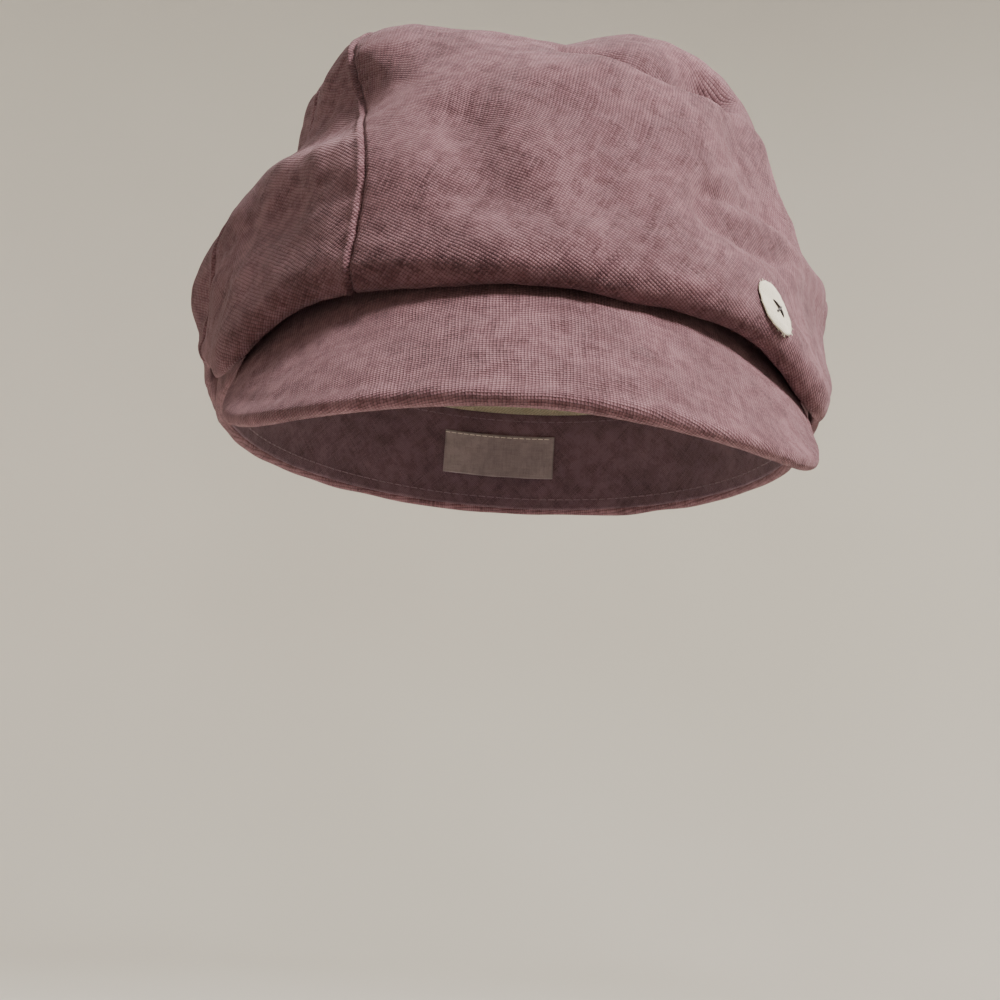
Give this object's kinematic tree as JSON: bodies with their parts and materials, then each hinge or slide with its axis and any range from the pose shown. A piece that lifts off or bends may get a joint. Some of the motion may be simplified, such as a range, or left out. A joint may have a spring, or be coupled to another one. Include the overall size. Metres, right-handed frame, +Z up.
{
  "type": "newsboy cap",
  "caption": "Soft panelled newsboy cap: puffed linen crown rolling over a band, steep short visor, lining, sweatband, covered top button and round tag.",
  "frame": {"origin": "middle of the head opening, on the plane of the band's lower edge", "axes": "+Z up through the crown, -Y to the front over the visor, +X to the wearer's left"},
  "size_m": [0.202, 0.2515, 0.1556],
  "materials": {
    "mauve_linen": "washed slub linen",
    "cream_cotton": "plain cotton",
    "sweatband_cotton": "cotton twill",
    "buckram": "stiff open weave",
    "elastic": "ribbed",
    "visor_board": "matte",
    "button_steel": "satin",
    "tag_canvas": "smooth canvas",
    "dark_thread": "twisted thread",
    "label_satin": "woven satin"
  },
  "bodies": {
    "cap": {"crown_panel_front": "mauve_linen", "crown_panel_right": "mauve_linen", "crown_panel_back_right": "mauve_linen", "crown_panel_back_left": "mauve_linen", "crown_panel_left": "mauve_linen", "crown_panel_front_left": "mauve_linen", "lining_panel_front": "cream_cotton", "lining_panel_right": "cream_cotton", "lining_panel_back_right": "cream_cotton", "lining_panel_back_left": "cream_cotton", "lining_panel_left": "cream_cotton", "lining_panel_front_left": "cream_cotton", "band_front": "mauve_linen", "band_back": "mauve_linen", "band_stiffener": "buckram", "back_elastic": "elastic", "sweatband": "sweatband_cotton", "inner_label": "label_satin", "care_label": "label_satin", "top_button_cover": "mauve_linen", "top_button_shell": "button_steel", "top_button_shank": "button_steel", "round_tag": "tag_canvas", "tag_stitches": "dark_thread"},
    "visor": {"visor_top_cover": "mauve_linen", "visor_board": "visor_board", "visor_under_cover": "cream_cotton"}
  },
  "joints": [
    {"name": "visor_tilt", "type": "hinge", "parent": "cap", "child": "visor", "pos_m": [0, -0.066, 0.005], "axis": [1, 0, 0], "range_deg": [0, 10], "stiffness_Nm_per_rad": 1}
  ]
}
